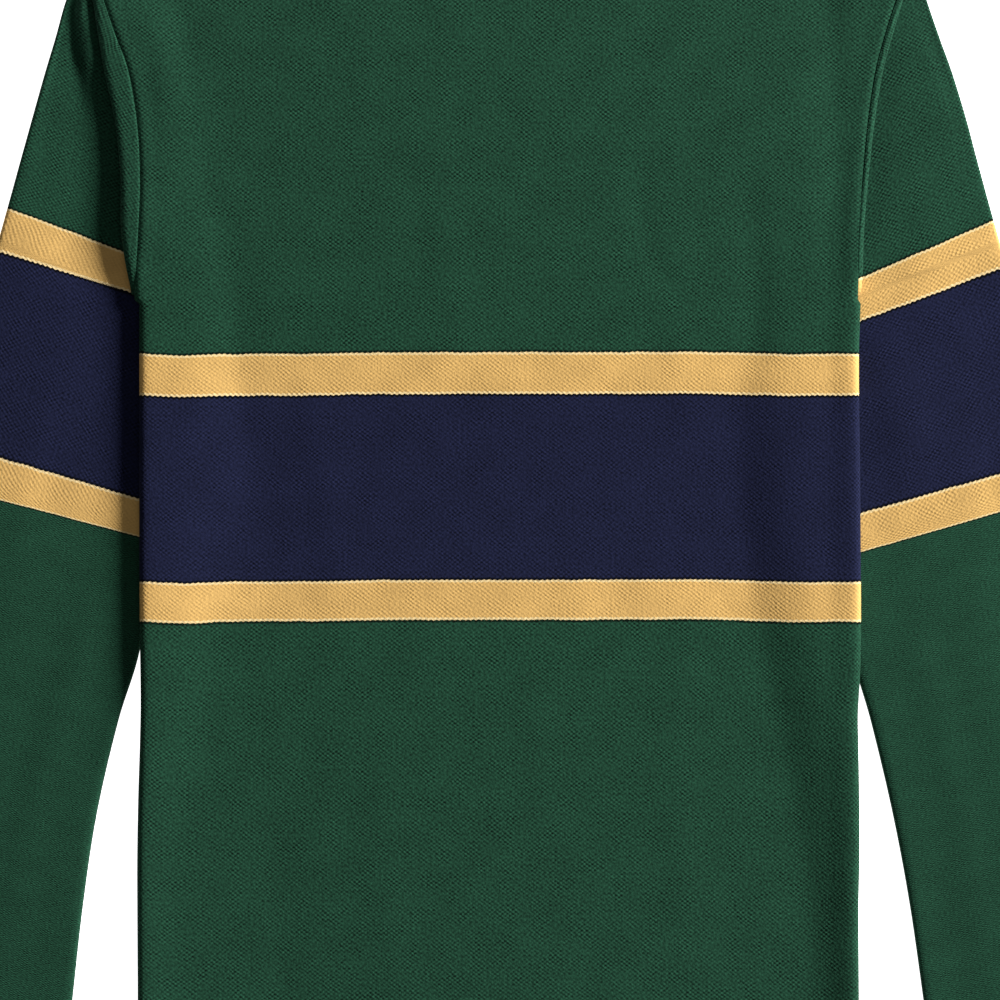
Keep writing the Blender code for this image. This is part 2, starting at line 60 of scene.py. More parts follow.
# Floor and light
# A white light table, one large soft light from the right, and even fill.
FLOOR_SIZE = 8.0
FLOOR_Z = -0.0003
FLOOR_GLOW = 1.3
KEY_AZIMUTH = 18.0           # degrees from +X towards +Y
KEY_ELEVATION = 23.0
KEY_DISTANCE = 5.0
KEY_SIZE = 1.7
KEY_POWER = 860.0
TOP_DISTANCE = 2.6
TOP_POWER = 8.0
TOP_SIZE = 2.4
ROOM_LEVEL = 0.12            # even white light from all round


def paint(code):
    """Turn a #rrggbb colour into linear values."""
    channels = [int(code[place:place + 2], 16) / 255 for place in (1, 3, 5)]
    return [c / 12.92 if c <= 0.04045 else ((c + 0.055) / 1.055) ** 2.4 for c in channels]


def new_material(name, settings):
    """Start a material, with inputs of its shader set by name."""
    material = bpy.data.materials.new(name)
    material.use_nodes = True
    shader = material.node_tree.nodes["Principled BSDF"]
    for key, value in settings.items():
        shader.inputs[key].default_value = value
    return material, material.node_tree, shader


# Opal acrylic sheet, matt and lit from below
opal = new_material("light_table_opal", {
    "Base Color": (*paint("#F4F4F4"), 1), "Roughness": 0.9,
    "Emission Color": (1, 1, 1, 1), "Emission Strength": FLOOR_GLOW,
})[0]
bpy.ops.mesh.primitive_plane_add(size=FLOOR_SIZE, location=(0, 0, FLOOR_Z))
floor = bpy.context.active_object
floor.name = "table"
floor.data.materials.append(opal)


def add_light(name, azimuth, elevation, distance, size, power):
    """Aim a square area light at the middle of the shirt."""
    flat = distance * math.cos(math.radians(elevation))
    data = bpy.data.lights.new(name, "AREA")
    data.size = size
    data.energy = power
    light = bpy.data.objects.new(name, data)
    light.location = (
        flat * math.cos(math.radians(azimuth)),
        flat * math.sin(math.radians(azimuth)),
        distance * math.sin(math.radians(elevation)),
    )
    light.rotation_euler = (0, math.radians(90 - elevation), math.radians(azimuth))
    bpy.context.scene.collection.objects.link(light)


add_light("key_light", KEY_AZIMUTH, KEY_ELEVATION, KEY_DISTANCE, KEY_SIZE, KEY_POWER)
add_light("top_light", 0.0, 90.0, TOP_DISTANCE, TOP_SIZE, TOP_POWER)
world = bpy.data.worlds.new("studio")
world.use_nodes = True
background = world.node_tree.nodes["Background"]
background.inputs["Color"].default_value = (1, 1, 1, 1)
background.inputs["Strength"].default_value = ROOM_LEVEL
bpy.context.scene.world = world
bpy.context.scene.view_settings.view_transform = "Standard"


# Back
# The back panel, cut in one piece from heavy pique knit with two yellow bands and a navy one
# between them knitted in. Both sides are turned under, and it lies on the rest of the shirt.
WALL = 0.0012                # thickness of one layer of knit
LAYER = 0.0017               # height from the middle of one layer to the next
GAP = 0.0003                 # space left at a seam between two pieces
TABLE = WALL / 2             # middle of a layer that rests on the table
MIDDLE = 0.3675              # half of the whole height, hem to top of collar
BODY_HALF = 0.2044           # centre to the fold at each side
ROLL = 0.0034                # width over which a side rounds down into its fold
ROLL_START = BODY_HALF - WALL / 2 - ROLL
# How far each folded side bulges, and the width over which it rises
EDGE_LIFTS = {-1: (0.0015, 0.04), 1: (0.001, 0.015)}
UNDERARM = 0.487             # height at which the armhole seam passes under the side
SEAM_SLOPE = 0.6             # fall of the armhole seam towards the middle, below the fold
SHOULDER_X = 0.2318
SHOULDER_H = 0.678
NECK_HALF = 0.088
NECK_H = 0.72                # high point of the shoulder beside the neck
BACK_NECK_H = 0.7
FRONT_NECK_H = 0.635
COLUMN_STEP = 0.0027
ROW_STEP = 0.0033
FIXED_X = 0.15               # columns nearer the middle than this keep their place
TINY = 0.0001                # slack when columns are compared with an edge

# Inner edge of the width tucked under each side, and the run over which the body climbs onto
# it, as (h, edge, run).
TUCKS = {
    -1: (
        (0.000, 0.186, 0.086), (0.2, 0.182, 0.084), (0.28, 0.18, 0.082),
        (0.4, 0.179, 0.078), (0.45, 0.179, 0.078), (0.72, 0.179, 0.078),
    ),
    1: (
        (0.000, 0.211, 0.05), (0.092, 0.212, 0.056), (0.149, 0.2105, 0.06),
        (0.206, 0.201, 0.058), (0.263, 0.189, 0.056), (0.319, 0.1785, 0.056),
        (0.376, 0.176, 0.057), (0.433, 0.1775, 0.062), (0.48, 0.18, 0.068),
        (0.72, 0.18, 0.068),
    ),
}
FLAP_LEAST = 0.005           # narrowest width turned under
FLAP_FADES = {-1: 0.6, 1: 0.56}       # height at which the lift over each flap has faded out
ROLL_WEAVE = 0.014           # knit that runs round the rounded fold
ROLL_COLUMNS = 8             # columns round it, and across the width turned under

# How far each folded side strays outwards from straight, as (h, distance); it begins at STRAY_X
EDGE_STRAYS = {
    -1: (
        (0.1, 0.0012), (0.146, 0.0014), (0.172, 0.0014), (0.206, 0.0008), (0.24, -0.0003),
        (0.262, -0.0007), (0.3, -0.0003), (0.34, 0.0),
    ),
    1: (
        (0.093, -0.0008), (0.146, -0.0011), (0.172, -0.0006), (0.206, -0.0007),
        (0.24, -0.0013), (0.255, -0.0015), (0.285, 0.0), (0.353, 0.0), (0.4, -0.0004),
        (0.455, -0.001), (0.487, 0.0),
    ),
}
STRAY_X = 0.16

# Back armhole seam as (h, x), and how far the sleeve reaches in under the body, as (h, x).
ARMHOLES = {
    -1: (
        (0.487, 0.2068), (0.5, 0.2067), (0.512, 0.2061), (0.523, 0.2048), (0.555, 0.2036),
        (0.588, 0.2052),
        (0.609, 0.2084), (0.624, 0.212), (0.64, 0.218), (0.664, 0.2262), (0.678, 0.2318),
    ),
    1: (
        (0.487, 0.2024), (0.523, 0.203), (0.555, 0.2055), (0.588, 0.2085),
        (0.619, 0.213), (0.64, 0.2185), (0.664, 0.2262), (0.678, 0.2318),
    ),
}
HIDDEN_EDGES = (
    (0.000, 0.242), (0.145, 0.235), (0.25, 0.216), (0.33, 0.1975), (0.41, 0.1825),
    (0.446, 0.1762), (0.482, 0.1752), (0.515, 0.1775), (0.548, 0.182), (0.587, 0.1855),
    (0.618, 0.194), (0.64, 0.208), (0.664, 0.2215), (0.678, 0.23),
)

# How far in from the sleeve's hidden edge the body starts to climb and is fully up, by side
SLEEVE_RUNS = {-1: (0.056, 0.002), 1: (0.078, 0.02)}

# Soft folds in the back as (line of (h, x), height, width to the left, width to the right);
# a height below zero makes a trough.
BACK_FOLDS = (
    (((0.47, -0.118), (0.51, -0.142), (0.56, -0.17), (0.61, -0.192), (0.66, -0.212)),
     0.0006, 0.024, 0.024),
    (((0.39, -0.149), (0.45, -0.15), (0.5, -0.147), (0.545, -0.15)), -0.0004, 0.012, 0.012),
    (((0.3, -0.089), (0.336, -0.094), (0.38, -0.099), (0.433, -0.107), (0.47, -0.112)),
     0.0004, 0.009, 0.012),
    (((0.3, -0.128), (0.35, -0.131), (0.4, -0.134), (0.44, -0.137)), -0.0003, 0.01, 0.012),
    (((0.44, -0.028), (0.5, -0.03), (0.56, -0.034), (0.6, -0.036)), 0.0003, 0.012, 0.01),
    (((0.46, 0.112), (0.489, 0.1015), (0.512, 0.0875), (0.546, 0.079), (0.58, 0.075)),
     -0.0004, 0.008, 0.007),
    (((0.4, 0.11), (0.44, 0.104), (0.48, 0.1), (0.53, 0.096)), 0.0004, 0.012, 0.016),
    (((0.42, 0.148), (0.47, 0.146), (0.53, 0.144), (0.59, 0.14)), -0.0004, 0.01, 0.008),
    (((0.09, 0.098), (0.16, 0.104), (0.23, 0.098), (0.3, 0.105), (0.35, 0.112)),
     0.0003, 0.013, 0.01),
    (((-0.05, -0.066), (0.08, -0.06), (0.18, -0.066), (0.27, -0.06)), 0.0003, 0.011, 0.014),
    (((0.12, 0.022), (0.2, 0.026), (0.3, 0.02), (0.38, 0.024)), 0.0002, 0.012, 0.012),
    (((-0.05, 0.052), (0.06, 0.047), (0.15, 0.054)), -0.0004, 0.012, 0.009),
    (((-0.05, -0.128), (0.05, -0.12), (0.14, -0.126), (0.23, -0.12)), -0.0004, 0.01, 0.013),
    (((0.54, 0.125), (0.58, 0.148), (0.62, 0.172), (0.655, 0.195)), 0.0003, 0.014, 0.016),
    (((0.6, -0.06), (0.64, -0.082), (0.68, -0.1), (0.71, -0.112)), 0.0004, 0.01, 0.012),
    (((0.61, 0.07), (0.65, 0.088), (0.69, 0.108)), -0.0004, 0.01, 0.012),
)


def smooth(value, start, end):
    """Rise from 0 at start to 1 at end, with level ends."""
    share = min(1.0, max(0.0, (value - start) / (end - start)))
    return share * share * (3 - 2 * share)


def mix(first, second, share):
    return first + (second - first) * share


def curve(value, pairs):
    """Read a smooth line through (position, height) pairs in rising order."""
    if value <= pairs[0][0]:
        return pairs[0][1]
    if value >= pairs[-1][0]:
        return pairs[-1][1]
    last = len(pairs) - 1
    place = next(index for index in range(last) if value <= pairs[index + 1][0])
    slopes = []
    for index in (place, place + 1):
        before, after = pairs[max(0, index - 1)], pairs[min(last, index + 1)]
        slopes.append((after[1] - before[1]) / (after[0] - before[0]))
    (x0, y0), (x1, y1) = pairs[place], pairs[place + 1]
    run = x1 - x0
    t = (value - x0) / run
    bend = t * (1 - t) * ((1 - t) * (slopes[0] * run - (y1 - y0)) - t * (slopes[1] * run - (y1 - y0)))
    return mix(y0, y1, t) + bend


def tuck_at(side, h):
    """Inner edge of a side's tuck, and the run up to it, at one height."""
    rows = TUCKS[side]
    edge = curve(h, [(row[0], row[1]) for row in rows])
    run = curve(h, [(row[0], row[2]) for row in rows])
    return edge, run


def sleeve_lift(side, x, h):
    """Height added over the two layers of a sleeve that lie under the body."""
    edge = curve(h, HIDDEN_EDGES)
    start, end = SLEEVE_RUNS[side]
    return 2 * LAYER * smooth(x, edge - start, edge - end)


def flap_lift(side, x, h):
    """Height added over the two layers tucked under a side, fading out above the underarm."""
    edge, run = tuck_at(side, h)
    fade = 1 - smooth(h, UNDERARM + 0.01, FLAP_FADES[side])
    return 2 * LAYER * smooth(x, edge - run, edge) * fade


def side_bulge(side, x):
    lift, width = EDGE_LIFTS[side]
    return lift * smooth(x, ROLL_START - width, ROLL_START)


# How far the back stands off the front at the middle, where its raised sides hold it up and
# the placket and the collar points lie under it, as (h, height).
STAND_OFF = (
    (0.000, 0.0000), (0.04, 0.0006), (0.11, 0.002), (0.32, 0.0022), (0.4, 0.0026),
    (0.48, 0.0048), (0.56, 0.0052), (0.63, 0.0046), (0.67, 0.0026), (0.7, 0.0019),
    (0.72, 0.0019),
)
STAND_OFF_BLEND = 0.0008     # rounding where the middle meets the raised sides


def soft_max(first, second, rounding):
    """The higher of two levels, rounded over where they meet."""
    return (first + second + math.hypot(first - second, rounding)) / 2


PUFF_HEIGHT = 0.0024         # lift of the back by the loose pleat beside the left armhole


def side_puff(side, x, h):
    if side > 0:
        return 0.0
    along = smooth(h, 0.495, 0.54) * (1 - smooth(h, 0.635, SHOULDER_H))
    return PUFF_HEIGHT * smooth(x, 0.13, 0.204) * along


def back_z(side, x, h):
    """Middle of the back's cloth over what lies under it, without its own folds."""
    support = sleeve_lift(side, x, h) + flap_lift(side, x, h)
    support += side_bulge(side, x) + side_puff(side, x, h)
    middle = curve(h, STAND_OFF) * (1 - smooth(x, 0.17, 0.226))
    return TABLE + LAYER + soft_max(support, middle, STAND_OFF_BLEND)


def fold_height(x, h, fold):
    """Height of one soft fold at a point, fading out towards both ends of its line."""
    line, height, left, right = fold
    start, end = line[0][0], line[-1][0]
    ends = smooth(h, start, mix(start, end, 0.3)) * (1 - smooth(h, mix(start, end, 0.7), end))
    if ends == 0:
        return 0.0
    slope = (curve(h + 0.004, line) - curve(h - 0.004, line)) / 0.008
    away = (x - curve(h, line)) / math.hypot(1, slope)
    return height * ends * math.exp(-(away / (left if away < 0 else right)) ** 2)


SEAM_RIDGE = 0.0005          # turned allowance that shows beside the armhole seam
SEAM_DIPS = {-1: 0.0009, 1: 0.0008}      # depth of the seam itself


def back_top_z(side, x, h):
    """The back with its folds, and with the turned allowance raised beside the armhole seam."""
    folds = sum(fold_height(side * x, h, fold) for fold in BACK_FOLDS)
    folds *= 1 - smooth(x, 0.19, 0.2)
    away = curve(h, ARMHOLES[side]) - x
    dip = SEAM_DIPS[side] * (smooth(h, 0.52, 0.56) if side > 0 else 1)
    seam = SEAM_RIDGE * (1 - smooth(away, 0.005, 0.009)) - dip * (1 - smooth(away, 0.0002, 0.0022))
    return back_z(side, x, h) + folds + seam * smooth(h, UNDERARM, UNDERARM + 0.02)


def back_flap_z(side, x, h):
    return TABLE + sleeve_lift(side, x, h)


def seam_drop(side, h):
    """How far the armhole seam has rounded down the side where it reaches the underarm."""
    half = (back_z(side, ROLL_START, h) - back_flap_z(side, ROLL_START, h)) / 2
    return half * (1 - smooth(h, UNDERARM, UNDERARM + 0.022))


def neck_curve(x, depth_h):
    """Height of a neckline that is level at the middle and rises to the shoulder."""
    share = min(1.0, abs(x) / NECK_HALF)
    if depth_h == BACK_NECK_H:
        return mix(depth_h, NECK_H, share * share)
    return NECK_H - (NECK_H - depth_h) * math.sqrt(max(0.0, 1 - share * share))


def top_line(x, depth_h):
    """Height of a panel's top edge: the neckline, then the shoulder seam."""
    if x <= NECK_HALF:
        return neck_curve(x, depth_h)
    return NECK_H - (x - NECK_HALF) * (NECK_H - SHOULDER_H) / (SHOULDER_X - NECK_HALF)


# How much lower the bands lie than at the middle of the back, as (x, drop).
BAND_DROPS = (
    (-0.2044, 0.0006), (-0.181, 0.0018), (-0.162, 0.0012), (-0.143, 0.0009), (-0.104, 0.0007),
    (-0.085, 0.0003), (-0.066, 0.0), (0.088, -0.0002), (0.108, -0.0004), (0.127, 0.0),
    (0.146, 0.0005), (0.166, 0.0012), (0.185, 0.0009), (0.2044, 0.0009),
)


def lay_cloth(name, place, columns, rows, material):
    """Lay a grid of cloth by place(column, row), drop the points it leaves out, and thicken it."""
    bm = bmesh.new()
    bmesh.ops.create_grid(bm, x_segments=columns - 1, y_segments=rows - 1, size=1)
    bm.verts.ensure_lookup_table()
    unused = []
    weave = {}
    for index, vert in enumerate(bm.verts):
        row, column = divmod(index, columns)
        found = place(column, row)
        if found is None:
            unused.append(vert)
            continue
        point, weave[vert] = found
        vert.co = (point[0], point[1] - MIDDLE, point[2])
    bmesh.ops.delete(bm, geom=unused, context="VERTS")
    bmesh.ops.recalc_face_normals(bm, faces=bm.faces)
    layer = bm.loops.layers.uv.new("weave")
    for face in bm.faces:
        for loop in face.loops:
            loop[layer].uv = weave[loop.vert]
    mesh = bpy.data.meshes.new(name)
    bm.to_mesh(mesh)
    bm.free()
    mesh.materials.append(material)
    mesh.shade_smooth()
    item = bpy.data.objects.new(name, mesh)
    bpy.context.scene.collection.objects.link(item)
    wall = item.modifiers.new("wall", "SOLIDIFY")
    wall.thickness = WALL
    wall.offset = 0
    return item


def spread(start, end, step):
    """Even steps from just after start up to end."""
    count = max(1, round(abs(end - start) / step))
    return [mix(start, end, index / count) for index in range(1, count + 1)]


def half_columns(side, width):
    """Columns from just beside the middle line out to one side's seam, as (side, part, value)."""
    columns = [(side, "inner", x) for x in spread(0, FIXED_X, width)]
    columns += [(side, "outer", share) for share in spread(0, 1, width / (ROLL_START - FIXED_X))]
    steps = [index / ROLL_COLUMNS for index in range(ROLL_COLUMNS + 1)]
    columns += [(side, "roll", step) for step in steps[1:-1]]
    return columns + [(side, "flap", 1 - step) for step in steps]


def body_columns(width):
    return half_columns(-1, width)[::-1] + [(1, "inner", 0.0)] + half_columns(1, width)


def stray(side, x, h):
    return curve(h, EDGE_STRAYS[side]) * smooth(x, STRAY_X, ROLL_START)


def column_x(part, value, fixed, edge):
    """Columns keep their share of the fixed middle, or spread from there to the edge."""
    return value * fixed / FIXED_X if part == "inner" else mix(fixed, edge, value)


def panel_point(column, row, panel):
    """Point and weave place of a panel; rows above the underarm go from 1 to 2."""
    side, part, value = column
    if row > 1:
        if part == "flap" or (part == "roll" and (value > 0.5 or not panel["outside"])):
            return None
        rise = row - 1
        round_width = ROLL if panel["outside"] else 0.0
        edges = []
        for edge_h in (mix(panel["flap_top"], SHOULDER_H, rise), SHOULDER_H):
            flat_edge = panel["seam"](side, edge_h) - GAP / 2 - round_width
            if part == "roll":
                edges.append(flat_edge + round_width * math.sin(math.pi * value))
            else:
                edges.append(column_x(part, value, panel["fixed"], flat_edge))
        x, top_x = edges
        h = mix(panel["flap_top"], top_line(top_x, panel["neck"]), rise)
        half, foot, row_height = panel["opening"]
        if x < half + TINY and h > foot:
            if h < foot + row_height:
                h = foot
            elif x < half - TINY:
                return None
        z = panel["z"](side, x, h)
        if part == "roll":
            z -= seam_drop(side, h) * (1 - math.cos(math.pi * value))
        return (side * x, h, z), (side * x, h + curve(side * x, BAND_DROPS))
    h = row * panel["flap_top"]
    drop = curve(side * ROLL_START, BAND_DROPS)
    if part in ("inner", "outer"):
        x = column_x(part, value, panel["fixed"], ROLL_START)
        weave = (side * x, h + curve(side * x, BAND_DROPS))
        return (side * (x + stray(side, x, h)), h, panel["z"](side, x, h)), weave
    upper = panel["z"](side, ROLL_START, h)
    lower = panel["flap_z"](side, ROLL_START, h)
    if part == "roll":
        reach = ROLL if panel["outside"] else (upper - lower) / 2
        angle = math.pi * value
        x = ROLL_START + reach * math.sin(angle)
        z = mix(lower, upper, (1 + math.cos(angle)) / 2)
        weave = (side * (ROLL_START + ROLL_WEAVE * value), h + drop)
        return (side * (x + stray(side, x, h)), h, z), weave
    x = mix(min(tuck_at(side, h)[0], ROLL_START - FLAP_LEAST), ROLL_START, value)
    flap_h = h * (1 - SEAM_SLOPE * (ROLL_START - x) / panel["flap_top"])
    across = 2 * ROLL_START + ROLL_WEAVE - x
    z = panel["flap_z"](side, x, flap_h)
    return (side * (x + stray(side, x, h)), flap_h, z), (side * across, h + drop)


def build_panel(name, column_step, row_step, panel, material):
    columns = body_columns(column_step)
    rows = [0.0] + spread(0, 1, row_step / panel["flap_top"])
    rows += spread(1, 2, row_step / (NECK_H - UNDERARM))

    def place(column, row):
        return panel_point(columns[column], rows[row], panel)

    return lay_cloth(name, place, len(columns), len(rows), material)


def add_node(tree, kind, values=(), **settings):
    """Add a shader node, set its properties, and set or link its inputs by name or number."""
    node = tree.nodes.new("ShaderNode" + kind)
    for key, value in settings.items():
        setattr(node, key, value)
    for key, value in dict(values).items():
        if isinstance(value, bpy.types.NodeSocket):
            tree.links.new(value, node.inputs[key])
        else:
            node.inputs[key].default_value = value
    return node


def calc(tree, operation, first, second=0.0, third=0.0):
    """Add one step of arithmetic and return its result."""
    values = {0: first, 1: second, 2: third}
    return add_node(tree, "Math", values, operation=operation).outputs[0]


def wave(tree, place, length):
    """A wave that repeats over this length."""
    return calc(tree, "COSINE", calc(tree, "MULTIPLY", place, 2 * math.pi / length))


def blend(tree, share, first, second):
    """Blend two colours, each a #rrggbb code or the result of a node."""
    values = {0: share}
    for key, colour in ((6, first), (7, second)):
        values[key] = (*paint(colour), 1) if isinstance(colour, str) else colour
    return add_node(tree, "Mix", values, data_type="RGBA").outputs[2]


WALE = 0.003                 # width of one repeat of the pique
COURSE = 0.00235             # height of one repeat of the pique
BANDS = (0.308, 0.3306, 0.4361, 0.4596)     # heights of the band edges on the body
TOOTH = 0.0006               # height of the steps along a band's edge
RIM_HALF = 0.0013            # half the width of the paler loops and the dark line at each edge
HEM_STITCHES = (0.0205, 0.0245)          # two rows that hold the turned hem
STITCH_LENGTH = 0.0032
STITCH_THREAD = 0.0006
GREEN, NAVY, YELLOW, PALE = "#173627", "#14172C", "#B49055", "#D8C89C"


def cloth_material(name, roughness, specular, sheen):
    """Start a cloth's material, and give its weave coordinates too."""
    material, tree, shader = new_material(name, {
        "Roughness": roughness, "Specular IOR Level": specular, "Sheen Weight": sheen,
    })
    return material, tree, shader, add_node(tree, "UVMap", uv_map="weave").outputs[0]


def finish_cloth(tree, shader, colour, light, relief, strength, depth):
    """Link a cloth's colour, made lighter or darker by its painted light and shade, and its relief to
    its shader.
    """
    shade = add_node(tree, "VectorMath", {0: colour, "Scale": light}, operation="SCALE")
    bump = add_node(tree, "Bump", {"Height": relief, "Strength": strength, "Distance": depth})
    tree.links.new(shade.outputs[0], shader.inputs["Base Color"])
    tree.links.new(bump.outputs[0], shader.inputs["Normal"])


def knit_material(name, bands, stitches=()):
    """Pique knit: a half-drop grid of small pits, painted darker in the colour as shade, with bands
    and rows of stitches by height.
    """
    material, tree, shader, uv = cloth_material(name, roughness=0.95, specular=0.05, sheen=0.02)
    wobble = add_node(tree, "TexNoise", {"Vector": uv, "Scale": 110.0, "Detail": 0.0})
    centred = {0: wobble.outputs["Color"], 1: (0.5, 0.5, 0.5)}
    shift = add_node(tree, "VectorMath", centred, operation="SUBTRACT").outputs[0]
    moves = {0: shift, 1: (0.0012, 0.0008, 0.0), 2: uv}
    moved = add_node(tree, "VectorMath", moves, operation="MULTIPLY_ADD").outputs[0]
    flat = add_node(tree, "SeparateXYZ", {0: uv})
    place = add_node(tree, "SeparateXYZ", {0: moved})
    across = wave(tree, place.outputs[0], WALE)
    pits = calc(tree, "MULTIPLY", across, wave(tree, place.outputs[1], COURSE))
    fuzz = add_node(tree, "TexNoise", {"Vector": uv, "Scale": 620.0, "Detail": 2.0})
    fuzz_level = calc(tree, "MULTIPLY_ADD", fuzz.outputs[0], 3.2, -1.6)
    patch = calc(tree, "MULTIPLY_ADD", wobble.outputs[0], 1.8, -0.1)
    relief = calc(tree, "MULTIPLY_ADD", pits, patch, fuzz_level)
    uneven = add_node(tree, "TexNoise", {"Vector": uv, "Scale": 45.0, "Detail": 3.0})
    cloud = calc(tree, "MULTIPLY_ADD", uneven.outputs[0], 0.44, 0.78)

    yellow = navy = rim = line = 0.0
    if bands:
        teeth = calc(tree, "PINGPONG", calc(tree, "MULTIPLY", flat.outputs[0], 2 / WALE), 1.0)
        edge_v = calc(tree, "MULTIPLY_ADD", teeth, TOOTH, place.outputs[1])
        steps = []
        for level in bands:
            ends = {0: edge_v, 1: level + 0.0001, 2: level + 0.0005}
            step = add_node(tree, "MapRange", ends, interpolation_type="SMOOTHSTEP")
            steps.append(step.outputs[0])
        lower = calc(tree, "SUBTRACT", steps[0], steps[1])
        upper = calc(tree, "SUBTRACT", steps[2], steps[3])
        yellow = calc(tree, "ADD", lower, upper)
        navy = calc(tree, "SUBTRACT", steps[1], steps[2])
        near = [calc(tree, "COMPARE", edge_v, level + 0.0003, RIM_HALF) for level in bands]
        edges = near[0]
        for other in near[1:]:
            edges = calc(tree, "ADD", edges, other)
        rim = calc(tree, "MULTIPLY", edges, yellow)
        line = calc(tree, "SUBTRACT", edges, rim)
    colour = blend(tree, navy, blend(tree, yellow, GREEN, YELLOW), NAVY)
    colour = blend(tree, calc(tree, "MULTIPLY", rim, 0.5), colour, PALE)
    # The colour follows the relief: painted shade in the pits and painted highlight on the raised
    # loops and fuzz, over an uneven random tone.
    contrast = calc(tree, "MULTIPLY_ADD", navy, -0.1, 0.62)
    contrast = calc(tree, "MULTIPLY_ADD", yellow, -0.54, contrast)
    light = calc(tree, "MULTIPLY_ADD", relief, contrast, cloud)
    light = calc(tree, "MAXIMUM", calc(tree, "MULTIPLY_ADD", line, -0.85, light), 0.08)
    # Painted shade darkens each stitched row where it sinks, and a painted highlight lightens the
    # thread dashes that stand up in it.
    for level in stitches:
        row = calc(tree, "COMPARE", flat.outputs[1], level, STITCH_THREAD / 2)
        dash = calc(tree, "MULTIPLY", flat.outputs[0], 2 / STITCH_LENGTH)
        dash = calc(tree, "PINGPONG", dash, 1.0)
        thread = calc(tree, "MULTIPLY", row, calc(tree, "GREATER_THAN", dash, 0.25))
        light = calc(tree, "MULTIPLY_ADD", row, -0.35, light)
        light = calc(tree, "MULTIPLY_ADD", thread, 0.55, light)
        relief = calc(tree, "MULTIPLY_ADD", row, -1.5, relief)
        relief = calc(tree, "MULTIPLY_ADD", thread, 2.0, relief)
    finish_cloth(tree, shader, colour, light, relief, strength=0.5, depth=0.0002)
    return material


# Cotton pique, matt and slightly fuzzy
body_knit = knit_material("pique_cotton_body", BANDS, HEM_STITCHES)
# "opening" is the half width, foot and row height of an opening from the neck; the back has none.
back_panel = {
    "z": back_top_z, "flap_z": back_flap_z, "flap_top": UNDERARM, "outside": True,
    "neck": BACK_NECK_H, "seam": lambda side, h: curve(h, ARMHOLES[side]), "fixed": FIXED_X,
    "opening": (0.0, NECK_H, 0.0),
}
back = build_panel("back_panel", COLUMN_STEP, ROW_STEP, back_panel, body_knit)
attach(back, "root")
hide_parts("back")


# Front
# The front panel, the same knit, slit for the placket and lying on the table under the back.
FRONT_UNDERARM = 0.45
FRONT_ARMHOLE = (
    (0.45, 0.1985), (0.456, 0.18), (0.466, 0.158), (0.48, 0.1455), (0.51, 0.15),
    (0.535, 0.156),
    (0.56, 0.164), (0.6, 0.179), (0.632, 0.2), (0.66, 0.218), (0.678, 0.23),
)
PLACKET_HALF = 0.016         # centre to each edge of the placket opening
PLACKET_H = 0.492            # foot of the placket opening
BUTTON_RADIUS = 0.00575
BUTTON_THICK = 0.002
RIDGE_HALF = 0.03            # centre to the foot of the ridge that the buttons push up


def collar_lift(x, h):
    """Height added over the layer of collar that lies under the front."""
    return LAYER * smooth(h, 0.58, 0.602) * (1 - smooth(x, 0.13, 0.155))


def button_lift(x, h):
    """Height that pushes the cloth up in a soft ridge over the row of buttons."""
    share = 1 - smooth(x, BUTTON_RADIUS + 0.001, RIDGE_HALF)
    share *= smooth(h, PLACKET_H - 0.025, PLACKET_H + 0.005) * (1 - smooth(h, 0.634, 0.665))
    return (BUTTON_THICK + 2 * GAP) * share


def front_z(side, x, h):
    inset = 0.003 * smooth(h, FRONT_UNDERARM, FRONT_UNDERARM + 0.005)
    support = sleeve_lift(side, x - inset, h) + flap_lift(side, x - inset, h)
    support += side_bulge(side, x)
    support *= 1 - smooth(h, UNDERARM, UNDERARM + 0.027)
    return TABLE + support + max(collar_lift(x, h), button_lift(x, h))


def front_flap_z(side, x, h):
    return TABLE + LAYER + sleeve_lift(side, x, h)


FRONT_COLUMN_STEP = 0.006
FRONT_ROW_STEP = 0.008
FRONT_FOOT_STEP = 0.0064     # height between the rows at the foot of the placket opening
# The third column runs along the edge of the placket opening.
FRONT_FIXED = PLACKET_HALF * FIXED_X / (3 * FRONT_COLUMN_STEP)
front_panel = {
    "z": front_z, "flap_z": front_flap_z, "flap_top": FRONT_UNDERARM, "outside": False,
    "neck": FRONT_NECK_H, "seam": lambda side, h: curve(h, FRONT_ARMHOLE), "fixed": FRONT_FIXED,
    "opening": (PLACKET_HALF, PLACKET_H - GAP, FRONT_FOOT_STEP),
}
front = build_panel("front_panel", FRONT_COLUMN_STEP, FRONT_ROW_STEP, front_panel, body_knit)
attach(front, "root")
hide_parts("front")


# Sleeves
# Long sleeves of the same knit, one piece each, sewn into the armholes and brought down beside
# the body, so that a pleat turns under along each armhole seam.
SLEEVE_LOFTS = {-1: 0.002, 1: 0.0014}   # extra height of each tube along its outer fold
CUFF_END_LOFT = 0.0024       # the same at the seam to the cuff, which is gathered in a little
FRONT_INSET = 0.006          # from the pleat's inner turn to the front armhole seam
SLEEVE_ROW_STEP = 0.0034
OPEN_ROWS = 7                # sections from the shoulder that are still open to the body
PLAIN_SHIFT = 0.2            # moves the left lip's knit up the flat cloth, clear of the bands
# Where the top layer starts and ends its rise to full height: metres from the seam while open,
# then metres from the inner edge and share of what is left of the width
OPEN_RISES = {-1: (0.022, 0.07), 1: (0.002, 0.05)}
CLOSED_RISES = {-1: (0.034, 0.85), 1: (0.016, 0.6)}

